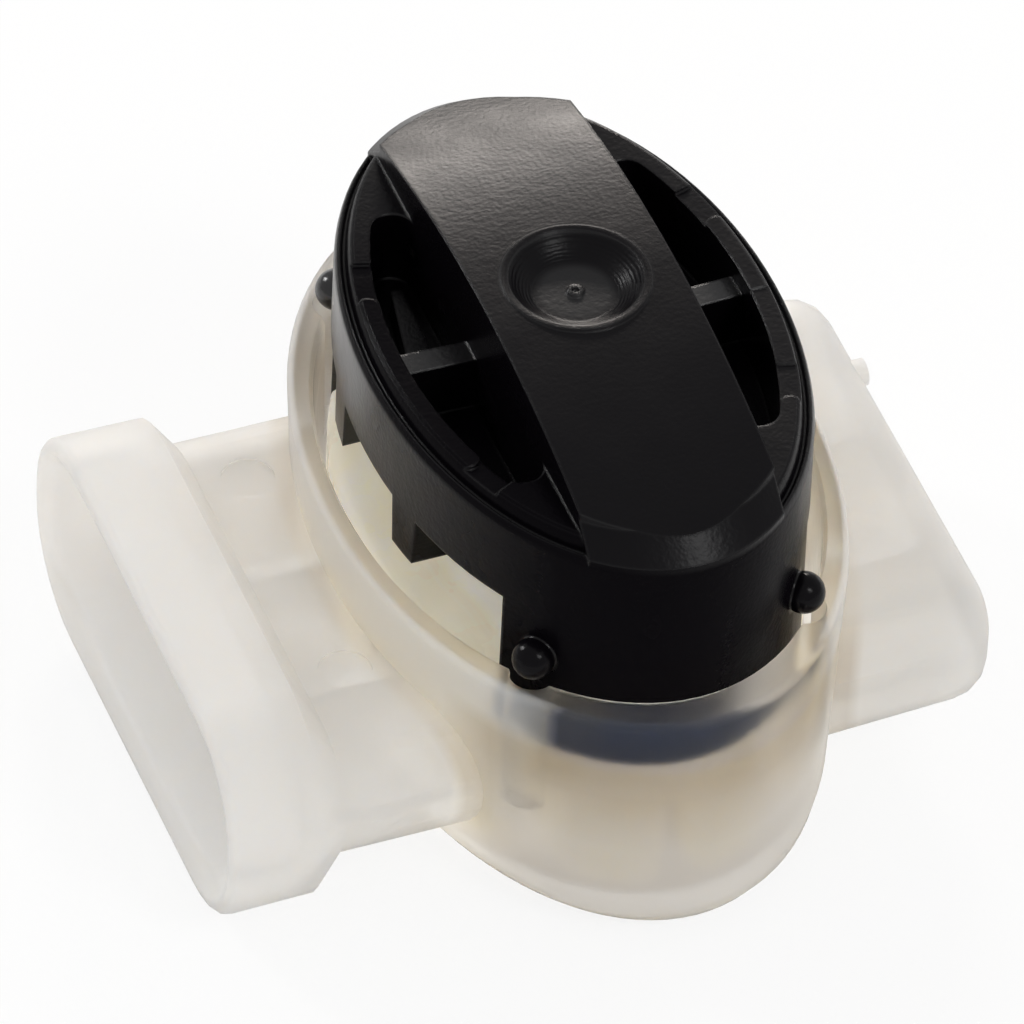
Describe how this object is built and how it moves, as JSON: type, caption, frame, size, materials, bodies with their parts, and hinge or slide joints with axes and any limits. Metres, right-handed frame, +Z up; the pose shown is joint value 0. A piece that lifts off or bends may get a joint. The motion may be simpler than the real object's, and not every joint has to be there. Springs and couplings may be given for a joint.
{
  "type": "gel-filled push-cap wire connector",
  "caption": "Translucent oval splice body with an oblong wire entry collar and a black cap that is pressed down to crimp and seal the wires.",
  "frame": {"origin": "centre of the oval base, on the surface that the connector rests on", "axes": "+X along the wires, from the entry collar towards the closed block; +Z up, out of the cap"},
  "size_m": [0.0291, 0.0282, 0.019],
  "materials": {
    "clear_moulding": "translucent natural polypropylene, satin moulded",
    "black_moulding": "black, satin moulded",
    "tinned_metal": "tin plated sheet",
    "gel": "soft clear sealing gel, faintly yellow"
  },
  "bodies": {
    "body": {"housing": "clear_moulding", "sealant_gel": "gel"},
    "cap": {"push_cap": "black_moulding", "contact": "tinned_metal"}
  },
  "joints": [
    {"name": "cap_press", "type": "slide", "parent": "body", "child": "cap", "axis": [0, 0, 1], "range_m": [-0.0056, 0], "deforming": ["sealant_gel"]}
  ]
}
